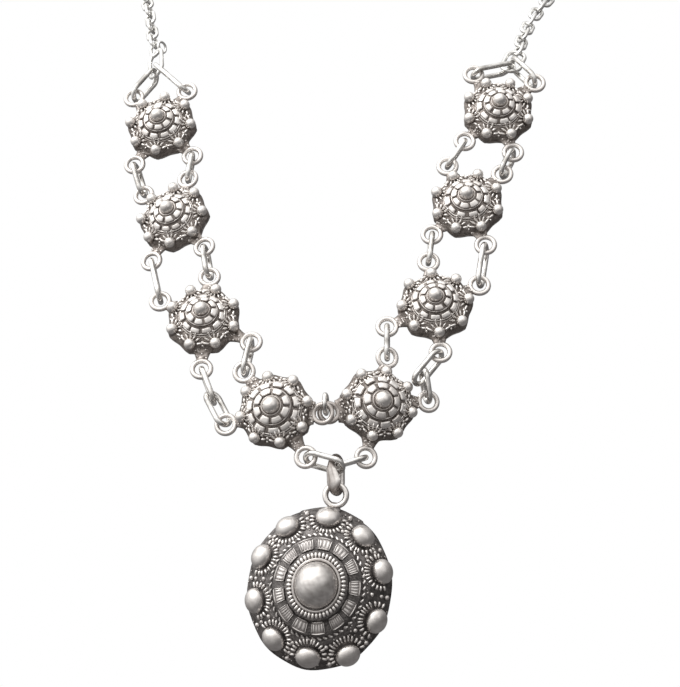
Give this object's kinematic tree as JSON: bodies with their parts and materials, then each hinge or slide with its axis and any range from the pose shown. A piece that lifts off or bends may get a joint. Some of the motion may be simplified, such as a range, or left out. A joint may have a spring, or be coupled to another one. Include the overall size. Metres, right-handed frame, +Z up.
{
  "type": "filigree button necklace",
  "caption": "Silver necklace of small domed filigree buttons on jump rings, with an oval domed pendant on a bail and a fine cable chain behind, in the form it takes when worn.",
  "frame": {"origin": "the middle of the chain where it lies on the nape of the neck", "axes": "+Z up, the front of the necklace faces -Y, and +X is to the right as seen from the front"},
  "size_m": [0.1104, 0.1259, 0.1692],
  "materials": {
    "button_silver": "bright cast silver with darkened recesses",
    "pendant_silver": "bright cast silver with darkened recesses",
    "ring_silver": "polished silver wire",
    "bail_silver": "darkened silver wire",
    "chain_silver": "bright silver wire",
    "clasp_silver": "polished silver"
  },
  "bodies": {
    "necklace": {"button_l1": "button_silver", "button_l2": "button_silver", "button_l3": "button_silver", "button_l4": "button_silver", "button_r4": "button_silver", "button_r3": "button_silver", "button_r2": "button_silver", "button_r1": "button_silver", "ring_l12_out": "ring_silver", "ring_l12_in": "ring_silver", "ring_l23_out": "ring_silver", "ring_l23_in": "ring_silver", "ring_l34_in": "ring_silver", "ring_l34_upper": "ring_silver", "ring_l34_lower": "ring_silver", "ring_r12_out": "ring_silver", "ring_r12_in": "ring_silver", "ring_r23_out": "ring_silver", "ring_r23_in": "ring_silver", "ring_r34_in": "ring_silver", "ring_r34_upper": "ring_silver", "ring_r34_lower": "ring_silver", "ring_centre": "ring_silver", "drop_ring_left": "ring_silver", "drop_ring_right": "ring_silver", "top_ring_l_out": "ring_silver", "top_ring_l_in": "ring_silver", "top_ring_r_out": "ring_silver", "top_ring_r_in": "ring_silver", "end_link_left": "chain_silver", "end_link_right": "chain_silver", "chain_left": "chain_silver", "chain_right": "chain_silver", "clasp": "clasp_silver", "clasp_ring": "chain_silver"},
    "bail": {"bail": "bail_silver"},
    "pendant": {"pendant": "pendant_silver"}
  },
  "joints": [
    {"name": "bail_swing", "type": "hinge", "parent": "necklace", "child": "bail", "pos_m": [0.0018, -0.1142, -0.1325], "axis": [0.9397, -0.342, 0], "range_deg": [-35, 35]},
    {"name": "pendant_swing", "type": "hinge", "parent": "bail", "child": "pendant", "pos_m": [0.0018, -0.1142, -0.13635], "axis": [0, 1, 0], "range_deg": [-45, 25]}
  ]
}
